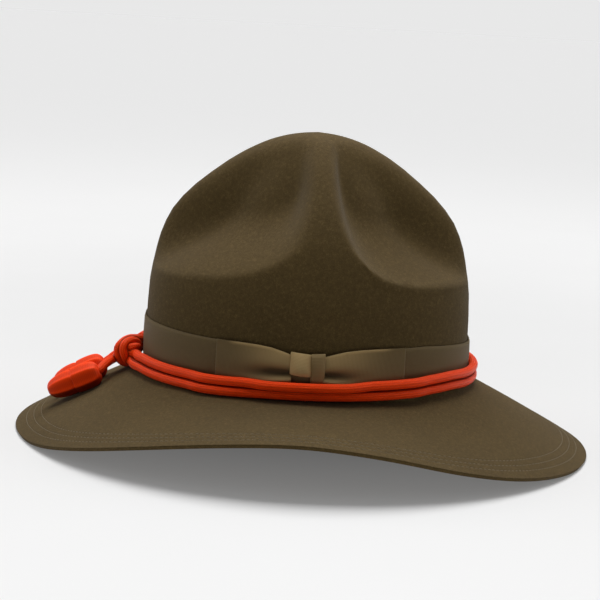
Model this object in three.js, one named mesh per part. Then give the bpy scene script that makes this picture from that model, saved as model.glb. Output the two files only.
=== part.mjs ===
// Campaign hat: one felt body with a peaked crown of four dents and a broad brim,
// a grosgrain ribbon with a flat bow on the wearer's left, and a round hat cord
// of two strands that is gathered in a knot at the front and ends in two acorns.
// Millimetres, +Z up. The hat faces -X and the wearer's left side is -Y.
// The origin lies on the resting surface, under the middle of the brim.
import * as THREE from "three";

// Felt body
const FELT = 2.2;
const SEGMENTS = 64;
const BRIM_HALF_LENGTH = 182;
const BRIM_HALF_WIDTH = 165;
const OVAL_POWER = 2.1;
const BREAK_HEIGHT_ENDS = 42.2;
const BREAK_HEIGHT_SIDES = 39.8;
const FLOOR_PRESS = 0.8;

// Rise of the brim's edge above its two resting tips, by angle from the back.
const EDGE_RISE = [
  { angle: 0, rise: 0 },
  { angle: 15, rise: 0 },
  { angle: 30, rise: 2.5 },
  { angle: 45, rise: 7.3 },
  { angle: 60, rise: 15.9 },
  { angle: 75, rise: 26.4 },
  { angle: 90, rise: 31.8 },
  { angle: 105, rise: 28.3 },
  { angle: 120, rise: 20.4 },
  { angle: 135, rise: 10.8 },
  { angle: 150, rise: 2.7 },
  { angle: 165, rise: 0 },
  { angle: 180, rise: 0 },
];

// Rings of the brim, from the cut edge in to the break under the crown:
// out is the share of the way from the break to the edge.
const BRIM_RINGS = [
  { out: 1, sag: 0 },
  { out: 0.984, sag: 0 },
  { out: 0.9, sag: 0.2 },
  { out: 0.76, sag: 0.4 },
  { out: 0.6, sag: 0.6 },
  { out: 0.44, sag: 0.6 },
  { out: 0.28, sag: 0.4 },
  { out: 0.14, sag: 0.2 },
  { out: 0.04, sag: 0.2 },
];

// Crown sections: height above the break, half-length along the front and back
// ridges, half-width over the side ridges.
const CROWN_SECTIONS = [
  { up: 3, long: 101.9, wide: 84.4 },
  { up: 16, long: 102.3, wide: 84.5 },
  { up: 29, long: 101.9, wide: 83.8 },
  { up: 42, long: 101.7, wide: 83.2 },
  { up: 54, long: 100.7, wide: 81.6 },
  { up: 64, long: 99.2, wide: 79.8 },
  { up: 73, long: 97.5, wide: 77.8 },
  { up: 81, long: 95.5, wide: 75.4 },
  { up: 89, long: 92.6, wide: 72.4 },
  { up: 97, long: 88.6, wide: 68.4 },
  { up: 105, long: 82.6, wide: 63.4 },
  { up: 113, long: 74.9, wide: 57.2 },
  { up: 121, long: 65.5, wide: 50 },
  { up: 129, long: 55.1, wide: 42 },
  { up: 137, long: 43.2, wide: 32.6 },
  { up: 144, long: 29.5, wide: 22.4 },
  { up: 148, long: 15, wide: 12 },
];
const CROWN_TOP = 149.6;

// The dents: each lies between a side ridge and an end ridge. The end ridge keeps
// its width and the side ridge narrows between the heights narrowFrom and narrowTo.
// A dent's lower border stands at atEnd beside the end ridge and climbs by rise
// towards the side ridge, within the distance spread. It deepens over run to the
// share depth of the radius, at once where crisp is 1 and gently where it is 0.
const SIDE_RIDGE = { x: 3, width: 15, topWidth: 11, narrowFrom: 60, narrowTo: 150 };
const END_RIDGE_WIDTH = 17;
const DENTS = {
  front: { atEnd: 61, rise: 36, spread: 28, run: 40, depth: 0.42, crisp: 0.6 },
  back: { atEnd: 63, rise: 104, spread: 15, run: 38, depth: 0.42, crisp: 0.9 },
};

// Towards the top every dent grows shallower by this share.
const DENT_FADE = { from: 96, to: 150, share: 0.3 };

// Ribbon band, measured up from the break, and the gap kept between pieces. Its upper
// edge runs lower round the back, from where the cosine of the angle passes from.
const RIBBON_FROM = 3.2;
const RIBBON_WIDTH = 27.6;
const RIBBON_THICK = 1;
const RIBBON_BACK = { from: 0.6, drop: 5.5, power: 1.6 };
const CLEAR = 0.3;

// Bow on the wearer's left: along is the share of the way from the knot to the
// free end, low and high the heights above the break, puff how far the loop
// stands out from its inner ply at mid-height.
const BOW_PLY = 1.8;
const BOW_LEAF = [
  { along: 0, low: 15, high: 27, puff: 3.4 },
  { along: 0.12, low: 13.6, high: 28.8, puff: 4 },
  { along: 0.28, low: 11, high: 30.4, puff: 3.8 },
  { along: 0.46, low: 7.4, high: 31, puff: 2.9 },
  { along: 0.64, low: 5, high: 31.2, puff: 2.3 },
  { along: 0.82, low: 4, high: 31.1, puff: 1.9 },
  { along: 1, low: 3.6, high: 31, puff: 1.8 },
];
const BOW_LEAVES = [
  { name: "bow_loop_front", knot: -9.5, end: -53 },
  { name: "bow_loop_back", knot: 11.7, end: 58.5 },
];
const BOW_KNOT = { name: "bow_knot", from: -9.1, to: 11.3, low: 4, step: 14.6, high: 27.6, puff: 4.6 };
const BAND_TUCK = 0.4;
const BOW_KNOT_STEPS = 6;

// Hat cord: two strands, one above the other, round the crown. They climb towards
// the back on the wearer's left, and the right side lies as high as the back, where
// they sag a little.
const CORD = 5.8;
const CORD_SIDES = 8;
const STRAND_STEPS = 46;
const STRAND_GAP = 0.3;
const STRAND_PITCH = 6.05;
const STRAND_SEAT = 3.3;
const STRAND_END_Y = 10.2;
const STRAND_CLIMB = 1.8;
const STRAND_SAG = { from: 0.78, drop: 2 };

// The bow holds both strands off the crown, and its knot pushes the upper one
// further out and lets it sink a little. Towards the front the left side lies
// looser, and its last stretch is drawn out and down to the cord's own knot.
const BOW_BULGE = { out: 2.2, run: 14 };
const KNOT_BULGE = { x: 2, half: 15, run: 23 };
const LOOSE = { from: -10, to: -60 };
const DRAWN_RUN = 26;
const STRANDS = [
  {
    name: "cord_strand_lower", layer: 0, knotOut: 0, knotDrop: 0,
    looseOut: 1.8, looseDrop: 0.9, drawnOut: 1.8, drawnDrop: 0.8,
  },
  {
    name: "cord_strand_upper", layer: 1, knotOut: 3, knotDrop: 0.7,
    looseOut: 0.2, looseDrop: 1.2, drawnOut: 0.6, drawnDrop: 1.3,
  },
];

// Knot that draws the two strands together, along its own axis towards the front.
const KNOT = { x: -113, y: -4, z: 47.8, dip: 24 };
const KNOT_TURNS = [
  { along: -7.6, radius: 0 },
  { along: -7.2, radius: 5.6 },
  { along: -4.9, radius: 8.4 },
  { along: -2.6, radius: 8.6 },
  { along: -0.4, radius: 7.6 },
  { along: 1.9, radius: 8.9 },
  { along: 4.4, radius: 8.7 },
  { along: 6.9, radius: 5.8 },
  { along: 7.3, radius: 0 },
];
const KNOT_SIDES = 14;

// Acorns: along is measured from the cord end, the groove parts cap from nut.
const ACORN_PROFILE = [
  { along: 0, radius: 0 },
  { along: 0.2, radius: 3.6 },
  { along: 2.4, radius: 6.5 },
  { along: 6, radius: 8.1 },
  { along: 11.5, radius: 8.3 },
  { along: 16.4, radius: 8.2 },
  { along: 17.3, radius: 7.5 },
  { along: 18.4, radius: 8 },
  { along: 23, radius: 8.1 },
  { along: 28.5, radius: 7.2 },
  { along: 32.8, radius: 5.2 },
  { along: 34.8, radius: 3 },
  { along: 35, radius: 0 },
];
const ACORN_SIDES = 10;
const ACORN_LIFT = 8.7;
const ACORNS = [
  { name: "acorn_near", leg: "cord_leg_near", x: -124.8, y: -20.6, knotY: -3.4 },
  { name: "acorn_far", leg: "cord_leg_far", x: -121.8, y: -3.2, knotY: 3.4 },
];
const ACORN_REACH = 30;
const LEG_STEPS = 6;
const LEG_STRAIGHT = 1.6;
const LEG_CLEAR = 0.5;

const felt = new THREE.MeshStandardMaterial({ color: 0x6b5b3a, roughness: 0.95, metalness: 0 });
const grosgrain = new THREE.MeshStandardMaterial({ color: 0x6a5c44, roughness: 0.8, metalness: 0 });
const braid = new THREE.MeshStandardMaterial({ color: 0xd8371a, roughness: 0.7, metalness: 0 });

const radians = THREE.MathUtils.degToRad;
const mix = THREE.MathUtils.lerp;
const smooth = (x) => THREE.MathUtils.smootherstep(x, 0, 1);

// Share of the way from one value to another, kept between 0 and 1.
const share = (value, from, to) => THREE.MathUtils.clamp((value - from) / (to - from), 0, 1);

// 0 on a ridge, 1 well beside it.
const beside = (distance, width) => 1 - Math.exp(-((distance / width) ** 2));

// A smooth reading of a table between its rows.
function tableCurve(rows, columns) {
  const points = rows.map((row) => new THREE.Vector3(...columns.map((name) => row[name])));
  return new THREE.CatmullRomCurve3(points, false, "catmullrom", 0.5);
}

// Angle from the back in degrees, 0 to 180, alike on both sides.
function fromBack(turn) {
  const degrees = THREE.MathUtils.radToDeg(turn) % 360;
  return degrees > 180 ? 360 - degrees : degrees;
}

const risePoints = EDGE_RISE.map((row) => row.rise);
function edgeRise(turn) {
  const place = (fromBack(turn) / 180) * (risePoints.length - 1);
  const row = Math.min(Math.floor(place), risePoints.length - 2);
  const at = (index) => {
    const mirrored = index < 0 ? -index : index;
    const last = risePoints.length - 1;
    return risePoints[mirrored > last ? 2 * last - mirrored : mirrored];
  };
  const t = place - row;
  const [a, b, c, d] = [at(row - 1), at(row), at(row + 1), at(row + 2)];
  const rise = 0.5 * (2 * b + (c - a) * t + (2 * a - 5 * b + 4 * c - d) * t * t
    + (3 * b - a - 3 * c + d) * t * t * t);
  return Math.max(0, rise);
}

function oval(turn, long, wide) {
  const x = Math.cos(turn);
  const y = Math.sin(turn);
  const power = 2 / OVAL_POWER;
  return new THREE.Vector2(
    long * Math.sign(x) * Math.abs(x) ** power,
    wide * Math.sign(y) * Math.abs(y) ** power,
  );
}

function breakHeight(turn) {
  return mix(BREAK_HEIGHT_ENDS, BREAK_HEIGHT_SIDES, Math.sin(turn) ** 2);
}

// Share of the radius that the dents take from a point of the plain crown.
function dentShare(flat, up) {
  const dent = flat.x > SIDE_RIDGE.x ? DENTS.back : DENTS.front;
  const fromSide = Math.abs(flat.x - SIDE_RIDGE.x);
  const border = dent.atEnd + dent.rise * Math.exp(-fromSide / dent.spread);
  const way = share(up, border, border + dent.run);
  const climb = mix(smooth(way), 1 - (1 - way) ** 2, dent.crisp);
  const narrowed = smooth(share(up, SIDE_RIDGE.narrowFrom, SIDE_RIDGE.narrowTo));
  const besideSide = beside(fromSide, mix(SIDE_RIDGE.width, SIDE_RIDGE.topWidth, narrowed));
  const fade = 1 - DENT_FADE.share * share(up, DENT_FADE.from, DENT_FADE.to) ** 1.5;
  return dent.depth * climb * fade * besideSide * beside(flat.y, END_RIDGE_WIDTH);
}

const crownCurve = tableCurve(CROWN_SECTIONS, ["up", "long", "wide"]);

// Point on the crown's outside; row runs from 0 at the break to 1 near the apex.
function crownPoint(turn, row) {
  const section = crownCurve.getPoint(row);
  const flat = oval(turn, section.y, section.z);
  flat.multiplyScalar(1 - dentShare(flat, section.x));
  return new THREE.Vector3(
    flat.x,
    flat.y,
    breakHeight(turn) + section.x * (1 + (BREAK_HEIGHT_ENDS - breakHeight(turn)) / CROWN_TOP),
  );
}

function brimPoint(turn, ring) {
  const base = oval(turn, CROWN_SECTIONS[0].long, CROWN_SECTIONS[0].wide);
  const edge = new THREE.Vector2(BRIM_HALF_LENGTH * Math.cos(turn), BRIM_HALF_WIDTH * Math.sin(turn));
  return new THREE.Vector3(
    mix(base.x, edge.x, ring.out),
    mix(base.y, edge.y, ring.out),
    mix(breakHeight(turn), edgeRise(turn), ring.out) + ring.sag,
  );
}

// Closed wall between an outer grid of rings and its copy, one thickness inwards.
function feltGrid() {
  const turns = Array.from({ length: SEGMENTS }, (_, i) => (i / SEGMENTS) * 2 * Math.PI);
  const rings = BRIM_RINGS.map((ring) => turns.map((turn) => brimPoint(turn, ring)));
  const rows = CROWN_SECTIONS.length;
  for (let row = 0; row < rows; row += 1) {
    rings.push(turns.map((turn) => crownPoint(turn, row / (rows - 1))));
  }
  return rings;
}

function innerGrid(outer, apex) {
  const last = outer.length - 1;
  return outer.map((ring, r) => ring.map((point, i) => {
    const along = ring[(i + 1) % SEGMENTS].clone().sub(ring[(i + SEGMENTS - 1) % SEGMENTS]);
    const inward = r === last ? apex : outer[r + 1][i];
    const outward = r === 0 ? point : outer[r - 1][i];
    const across = inward.clone().sub(outward);
    const normal = along.cross(across).normalize();
    return point.clone().addScaledVector(normal, -FELT);
  }));
}

function feltBody() {
  const outer = feltGrid();
  const apex = new THREE.Vector3(0, 0, BREAK_HEIGHT_ENDS + CROWN_TOP);
  const inner = innerGrid(outer, apex);
  const innerApex = apex.clone().setZ(apex.z - FELT);
  const lowest = Math.min(...inner[0].map((point) => point.z)) + FLOOR_PRESS;
  const points = [...outer.flat(), apex, ...inner.flat(), innerApex];
  for (const point of points) point.z = Math.max(0, point.z - lowest);

  const half = outer.length * SEGMENTS + 1;
  const index = [];
  const face = (a, b, c, turned) => index.push(...(turned ? [a, c, b] : [a, b, c]));
  for (const turned of [false, true]) {
    const start = turned ? half : 0;
    for (let r = 0; r < outer.length; r += 1) {
      for (let i = 0; i < SEGMENTS; i += 1) {
        const next = (i + 1) % SEGMENTS;
        const a = start + r * SEGMENTS + i;
        const b = start + r * SEGMENTS + next;
        if (r === outer.length - 1) {
          face(a, b, start + half - 1, turned);
          continue;
        }
        const [c, d] = [b + SEGMENTS, a + SEGMENTS];
        if (points[a].distanceTo(points[c]) <= points[b].distanceTo(points[d])) {
          face(a, b, c, turned);
          face(a, c, d, turned);
        } else {
          face(a, b, d, turned);
          face(b, c, d, turned);
        }
      }
    }
  }
  for (let i = 0; i < SEGMENTS; i += 1) {
    const next = (i + 1) % SEGMENTS;
    face(half + i, half + next, next, false);
    face(half + i, next, i, false);
  }
  const geometry = new THREE.BufferGeometry();
  geometry.setAttribute("position", new THREE.Float32BufferAttribute(points.flatMap((p) => [p.x, p.y, p.z]), 3));
  geometry.setIndex(index);
  return { geometry, drop: lowest };
}

function named(name, geometry, material) {
  const mesh = new THREE.Mesh(geometry, material);
  mesh.name = name;
  return mesh;
}

const body = feltBody();
const feltMesh = named("felt_body", body.geometry, felt);
const lift = -body.drop;

// Half-length and half-width of the crown at a height above the break.
function crownSize(up) {
  const rows = CROWN_SECTIONS;
  const above = Math.max(1, rows.findIndex((row) => row.up >= up));
  const [low, high] = [rows[above - 1], rows[above]];
  const t = (up - low.up) / (high.up - low.up);
  return { long: mix(low.long, high.long, t), wide: mix(low.wide, high.wide, t) };
}

// Point beside the crown: out is the distance off its surface.
function besideCrown(turn, up, out) {
  const size = crownSize(up);
  const flat = oval(turn, size.long + out, size.wide + out);
  return new THREE.Vector3(flat.x, flat.y, breakHeight(turn) + lift + up);
}

// The same on the wearer's left, at a given x.
function besideLeft(x, up, out) {
  const size = crownSize(up);
  const [long, wide] = [size.long + out, size.wide + out];
  const y = -wide * (1 - Math.abs(x / long) ** OVAL_POWER) ** (1 / OVAL_POWER);
  const turn = Math.atan2(y / wide, x / long);
  return new THREE.Vector3(x, y, breakHeight(turn) + lift + up);
}

// Solid through a row of like sections, closed on itself or capped at both ends.
function loft(sections, closed) {
  const sides = sections[0].length;
  const points = sections.flat();
  const index = [];
  const runs = closed ? sections.length : sections.length - 1;
  for (let s = 0; s < runs; s += 1) {
    for (let i = 0; i < sides; i += 1) {
      const a = s * sides + i;
      const b = s * sides + ((i + 1) % sides);
      const ahead = ((s + 1) % sections.length) * sides;
      const c = ahead + ((i + 1) % sides);
      const d = ahead + i;
      index.push(a, b, c, a, c, d);
    }
  }
  if (!closed) {
    for (let i = 1; i < sides - 1; i += 1) {
      const last = (sections.length - 1) * sides;
      index.push(0, i + 1, i, last, last + i, last + i + 1);
    }
  }
  const geometry = new THREE.BufferGeometry();
  geometry.setAttribute("position", new THREE.Float32BufferAttribute(points.flatMap((p) => [p.x, p.y, p.z]), 3));
  geometry.setIndex(index);
  return geometry;
}

// Top of the bow at a given x.
function bowTop(x) {
  const leaf = BOW_LEAVES[x < BOW_LEAVES[1].knot ? 0 : 1];
  const along = share(x, leaf.knot, leaf.end);
  const above = Math.max(1, BOW_LEAF.findIndex((row) => row.along >= along));
  const [near, far] = [BOW_LEAF[above - 1], BOW_LEAF[above]];
  return mix(near.high, far.high, share(along, near.along, far.along));
}

// The band's upper edge is drawn down behind the pinched middle of the bow.
function ribbonBand() {
  const sections = [];
  for (let i = 0; i < SEGMENTS; i += 1) {
    const turn = (i / SEGMENTS) * 2 * Math.PI;
    const { x, y } = besideCrown(turn, RIBBON_FROM, CLEAR);
    const drawn = y < 0 ? bowTop(x) - BAND_TUCK : Infinity;
    const behind = share(Math.cos(turn), RIBBON_BACK.from, 1) ** RIBBON_BACK.power;
    const top = Math.min(RIBBON_FROM + RIBBON_WIDTH - RIBBON_BACK.drop * behind, drawn);
    const rows = [RIBBON_FROM, CROWN_SECTIONS[1].up, mix(CROWN_SECTIONS[1].up, top, 0.88), top];
    const outer = rows.map((up) => besideCrown(turn, up, CLEAR + RIBBON_THICK));
    const inner = rows.map((up) => besideCrown(turn, up, CLEAR)).reverse();
    sections.push([...outer, ...inner].reverse());
  }
  return loft(sections, true);
}

// One loop of the bow, pinched at the knot and as wide as the ribbon at its end.
function bowLeaf(leaf) {
  const back = CLEAR + RIBBON_THICK + CLEAR;
  const sections = BOW_LEAF.map((row) => {
    const x = mix(leaf.knot, leaf.end, row.along);
    const rise = row.high - row.low;
    const ply = (upShare, out) => besideLeft(x, row.low + rise * upShare, back + out);
    return [
      ply(0, 0),
      ply(0.5, 0),
      ply(1, 0),
      ply(1, BOW_PLY),
      ply(0.75, mix(BOW_PLY, row.puff, 0.9)),
      ply(0.5, row.puff),
      ply(0.25, mix(BOW_PLY, row.puff, 0.6)),
      ply(0, BOW_PLY),
    ];
  });
  if (leaf.end < leaf.knot) sections.reverse();
  return loft(sections, false);
}

// The strip round the middle of the bow: full above, flat where the cord lies on it.
function bowKnot() {
  const back = CLEAR + RIBBON_THICK + CLEAR;
  const sections = [];
  for (let i = 0; i <= BOW_KNOT_STEPS; i += 1) {
    const along = i / BOW_KNOT_STEPS;
    const x = mix(BOW_KNOT.from, BOW_KNOT.to, along);
    const round = mix(0.6, 1, Math.sin(Math.PI * along) ** 0.5);
    const middle = mix(BOW_KNOT.step, BOW_KNOT.high, 0.5);
    sections.push([
      besideLeft(x, BOW_KNOT.low, back),
      besideLeft(x, middle, back),
      besideLeft(x, BOW_KNOT.high, back),
      besideLeft(x, BOW_KNOT.high, back + BOW_PLY + BOW_KNOT.puff * 0.2 * round),
      besideLeft(x, middle + 3, back + BOW_KNOT.puff * round),
      besideLeft(x, middle - 3, back + BOW_KNOT.puff * round),
      besideLeft(x, BOW_KNOT.step, back + BOW_PLY),
      besideLeft(x, BOW_KNOT.low, back + BOW_PLY),
    ]);
  }
  return loft(sections, false);
}

function cordSection() {
  const corners = Array.from({ length: CORD_SIDES }, (_, i) => {
    const turn = ((i + 0.5) / CORD_SIDES) * 2 * Math.PI;
    return new THREE.Vector2((CORD / 2) * Math.cos(turn), (CORD / 2) * Math.sin(turn));
  });
  return new THREE.Shape(corners);
}

function cordAlong(points, steps) {
  const path = new THREE.CatmullRomCurve3(points);
  return new THREE.ExtrudeGeometry(cordSection(), { steps, bevelEnabled: false, extrudePath: path });
}

// A strand leaves the knot on the near side, goes round the crown and comes back
// to the knot on the far side. It stands out a little where it passes the bow.
function strand(row) {
  const up = STRAND_SEAT + row.layer * STRAND_PITCH;
  const off = CLEAR + RIBBON_THICK + STRAND_GAP + CORD / 2;
  const { long, wide } = CROWN_SECTIONS[0];
  const start = Math.PI + Math.asin((STRAND_END_Y - KNOT.y) / (wide + off));
  const end = 3 * Math.PI - Math.asin((STRAND_END_Y + KNOT.y) / (wide + off));
  const [front, back] = BOW_LEAVES.map((leaf) => leaf.end);
  const points = [];
  for (let i = 0; i <= STRAND_STEPS; i += 1) {
    const turn = mix(start, end, i / STRAND_STEPS);
    const left = Math.sin(turn) < 0 ? 1 : 0;
    const x = long * Math.cos(turn);
    const bow = left * (1 - smooth(share(Math.max(front - x, x - back), 0, BOW_BULGE.run)));
    const fromKnot = Math.abs(x - KNOT_BULGE.x) - KNOT_BULGE.half;
    const knot = left * (1 - smooth(share(fromKnot, 0, KNOT_BULGE.run)));
    const loose = left * smooth(share(x, LOOSE.from, LOOSE.to));
    const drawn = 1 - smooth(share((turn - start) * long, 0, DRAWN_RUN));
    const climb = STRAND_CLIMB * (left ? Math.cos(turn) : 1);
    const sag = STRAND_SAG.drop * smooth(share(Math.cos(turn), STRAND_SAG.from, 1));
    points.push(besideCrown(
      turn,
      up + climb - sag - row.knotDrop * knot - row.looseDrop * loose - row.drawnDrop * drawn,
      off + BOW_BULGE.out * bow + row.knotOut * knot + row.looseOut * loose + row.drawnOut * drawn,
    ));
  }
  return cordAlong(points, STRAND_STEPS);
}

function turned(profile, sides) {
  const outline = profile.map((row) => new THREE.Vector2(row.radius, row.along));
  return new THREE.LatheGeometry(outline, sides);
}

// Height of the felt's upper side at a place on the brim.
function feltTop(x, y) {
  const down = new THREE.Raycaster(new THREE.Vector3(x, y, 2 * CROWN_TOP), new THREE.Vector3(0, 0, -1));
  return down.intersectObject(feltMesh)[0].point.z;
}

// Turns a piece made along +Y to lie along a direction, with its start at a place.
function place(mesh, start, direction) {
  mesh.position.copy(start);
  mesh.quaternion.setFromUnitVectors(new THREE.Vector3(0, 1, 0), direction);
  return mesh;
}

const hat = new THREE.Group();
hat.name = "campaign_hat";
hat.add(feltMesh);
hat.add(named("ribbon_band", ribbonBand(), grosgrain));
for (const leaf of BOW_LEAVES) hat.add(named(leaf.name, bowLeaf(leaf), grosgrain));
hat.add(named(BOW_KNOT.name, bowKnot(), grosgrain));

const hatCord = new THREE.Group();
hatCord.name = "hat_cord";
for (const row of STRANDS) hatCord.add(named(row.name, strand(row), braid));

const knotPlace = new THREE.Vector3(KNOT.x, KNOT.y, KNOT.z);
const knotAxis = new THREE.Vector3(-Math.cos(radians(KNOT.dip)), 0, -Math.sin(radians(KNOT.dip)));
hatCord.add(place(named("cord_knot", turned(KNOT_TURNS, KNOT_SIDES), braid), knotPlace, knotAxis));

const knotFront = knotPlace.clone().addScaledVector(knotAxis, KNOT_TURNS.at(-1).along);
for (const row of ACORNS) {
  const heel = new THREE.Vector3(row.x, row.y, feltTop(row.x, row.y));
  const toe = new THREE.Vector3(row.x - ACORN_REACH, row.y, feltTop(row.x - ACORN_REACH, row.y));
  const axis = toe.clone().sub(heel).normalize();
  const normal = new THREE.Vector3(0, 1, 0).cross(axis).normalize();
  if (normal.z < 0) normal.negate();
  const start = heel.clone().addScaledVector(normal, ACORN_LIFT);
  hatCord.add(place(named(row.name, turned(ACORN_PROFILE, ACORN_SIDES), braid), start, axis));

  const leave = knotFront.clone().add(new THREE.Vector3(0, row.knotY, 0));
  leave.addScaledVector(knotAxis, LEG_CLEAR);
  const meet = start.clone().addScaledVector(axis, -LEG_CLEAR);
  const straight = leave.clone().addScaledVector(knotAxis, LEG_STRAIGHT);
  const arrive = meet.clone().addScaledVector(axis, -LEG_STRAIGHT);
  hatCord.add(named(row.leg, cordAlong([leave, straight, arrive, meet], LEG_STEPS), braid));
}
hat.add(hatCord);

export default hat;
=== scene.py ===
"""Campaign hat: felt, stitched brim, ribbon and bow, and a braided hat cord with acorns.

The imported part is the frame. The hat faces -X, the wearer's left is -Y and +Z is up.
Everything is in metres; MM turns a length in millimetres into them.
"""

import math

import bpy
import numpy as np
from bpy.props import FloatProperty, FloatVectorProperty, IntProperty, PointerProperty
from mathutils import Matrix, Vector, noise


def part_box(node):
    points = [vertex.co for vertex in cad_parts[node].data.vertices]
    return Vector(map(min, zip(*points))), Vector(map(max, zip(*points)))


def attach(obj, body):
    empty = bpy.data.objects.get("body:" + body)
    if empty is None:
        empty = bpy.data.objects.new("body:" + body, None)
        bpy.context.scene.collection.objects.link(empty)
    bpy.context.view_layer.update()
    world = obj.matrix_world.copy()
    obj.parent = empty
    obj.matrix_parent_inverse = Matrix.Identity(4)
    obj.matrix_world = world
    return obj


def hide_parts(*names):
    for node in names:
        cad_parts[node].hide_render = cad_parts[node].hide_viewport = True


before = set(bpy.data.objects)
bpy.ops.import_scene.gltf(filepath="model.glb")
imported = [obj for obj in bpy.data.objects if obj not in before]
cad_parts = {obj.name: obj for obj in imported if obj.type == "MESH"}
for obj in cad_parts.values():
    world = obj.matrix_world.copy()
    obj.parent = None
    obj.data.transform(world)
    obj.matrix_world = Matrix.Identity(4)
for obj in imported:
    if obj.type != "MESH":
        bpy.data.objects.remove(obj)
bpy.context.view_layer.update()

bl_info = {
    "name": "Campaign Hat",
    "version": (1, 0, 0),
    "blender": (4, 5, 0),
    "location": "View3D > Sidebar > Hat",
    "description": "Models a felt campaign hat with its ribbon, bow and hat cord",
    "category": "Add Mesh",
}

MM = 0.001

# The crown as the part has it: half-length and half-width at each height above the break.
OVAL_POWER = 2.1
BREAK_ENDS = 42.2 * MM
BREAK_SIDES = 39.8 * MM
CROWN_RISE = 149.6 * MM
CROWN_UP = np.array([3, 16, 29, 42, 54, 64, 73, 81, 89, 97, 105, 113, 121, 129, 137, 144, 148]) * MM
CROWN_LONG = np.array([101.9, 102.3, 101.9, 101.7, 100.7, 99.2, 97.5, 95.5, 92.6, 88.6, 82.6, 74.9, 65.5,
                       55.1, 43.2, 29.5, 15]) * MM
CROWN_WIDE = np.array([84.4, 84.5, 83.8, 83.2, 81.6, 79.8, 77.8, 75.4, 72.4, 68.4, 63.4, 57.2, 50,
                       42, 32.6, 22.4, 12]) * MM
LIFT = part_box("felt_body")[1].z - BREAK_ENDS - CROWN_RISE

# Dents, in millimetres: the lower border stands at_end high beside the end ridge and climbs
# by rise towards the side ridge, within spread. From there the dent deepens over run to the
# share depth of the radius, crisp says how suddenly it starts, and lip rolls its border out.
DENTS = {
    "front": {"at_end": 61, "rise": 36, "spread": 28, "run": 40, "depth": 0.42, "crisp": 0.6, "lip": 0.0},
    "back": {"at_end": 63, "rise": 104, "spread": 15, "run": 38, "depth": 0.42, "crisp": 0.9, "lip": 0.7},
}
# Towards the peak the dents get shallower by the share DENT_FADE.
DENT_FADE_FROM = 96 * MM
DENT_FADE_RUN = 54 * MM
DENT_FADE = 0.3
# Widths of the ridges that the dents leave standing, and how near a crease points are laid
# on it, or evened out where it climbs steeply.
SIDE_RIDGE_X = 3 * MM
SIDE_RIDGE_WIDTH = 15 * MM
SIDE_RIDGE_TOP_WIDTH = 11 * MM
END_RIDGE_WIDTH = 17 * MM
LIP_WIDTH = 2.6 * MM
CREASE_REACH = 1.3 * MM
SOFTEN_REACH = 3 * MM
SOFTEN_ROUNDS = 8

# The ribbon and the cord round the crown, measured up from the break.
# The ribbon's top drops by RIBBON_BACK_DROP round the back, and SELVEDGE is how thick its
# edges are as a share.
RIBBON_LOW = 3.2 * MM
RIBBON_WIDTH = 27.6 * MM
RIBBON_THICK = 1.0 * MM
RIBBON_BACK_FROM = 0.6
RIBBON_BACK_DROP = 5.5 * MM
RIBBON_BACK_POWER = 1.6
SELVEDGE = 0.55
BAND_COLUMNS = 384
BAND_ROWS = 14
CLEAR = 0.3 * MM
BAND_TUCK = 0.6 * MM
# The lower strand sits at STRAND_SEAT, the upper one STRAND_PITCH above it. They climb to
# the back by STRAND_CLIMB and sag again by STRAND_SAG round its middle.
STRAND_GAP = 0.3 * MM
STRAND_RINGS = 320
STRAND_PITCH = 6.05 * MM
STRAND_SEAT = 3.3 * MM
STRAND_CLIMB = 1.8 * MM
STRAND_SAG_FROM = 0.78
STRAND_SAG = 2.0 * MM
STRAND_END_Y = 10.2 * MM
KNOT_CENTRE = Vector((-113, -4, 47.8)) * MM
# Sides of the cord's mesh for each column of threads, and how far it dips between columns.
COLUMN_SIDES = 4
COLUMN_DIP = 0.03

# On the wearer's left the bow holds the strands off the crown between the ends of its
# loops, and its middle pushes the upper one further out. Towards the front they lie
# looser, and their last stretch is drawn out and down to the cord's own knot. Each pair is
# (out, down) in millimetres, contact is the side that faces the other strand, 1 on top.
BOW_ENDS = (-53 * MM, 58.5 * MM)
BOW_BULGE = 2.2 * MM
BOW_BULGE_RUN = 14 * MM
KNOT_BULGE = {"x": 2 * MM, "half": 15 * MM, "run": 23 * MM}
LOOSE_FROM = -10 * MM
LOOSE_RUN = 50 * MM
DRAWN_RUN = 26 * MM
STRANDS = [
    {
        "name": "hat_strand_lower", "node": "cord_strand_lower", "layer": 0, "contact": 1, "bulge": (0, 0),
        "loose": (1.8, 0.9), "drawn": (1.8, 0.8), "carries": ["hat_knot", "hat_leg_near", "hat_acorn_near"],
    },
    {
        "name": "hat_strand_upper", "node": "cord_strand_upper", "layer": 1, "contact": -1, "bulge": (3, 0.7),
        "loose": (0.2, 1.2), "drawn": (0.6, 1.3), "carries": ["hat_leg_far", "hat_acorn_far"],
    },
]

# Rows of stitches, measured in from the brim's edge.
BRIM_HALF_LENGTH = 182 * MM
BRIM_HALF_WIDTH = 165 * MM
STITCH_ROWS = (7 * MM, 11.5 * MM, 16 * MM)

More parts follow.
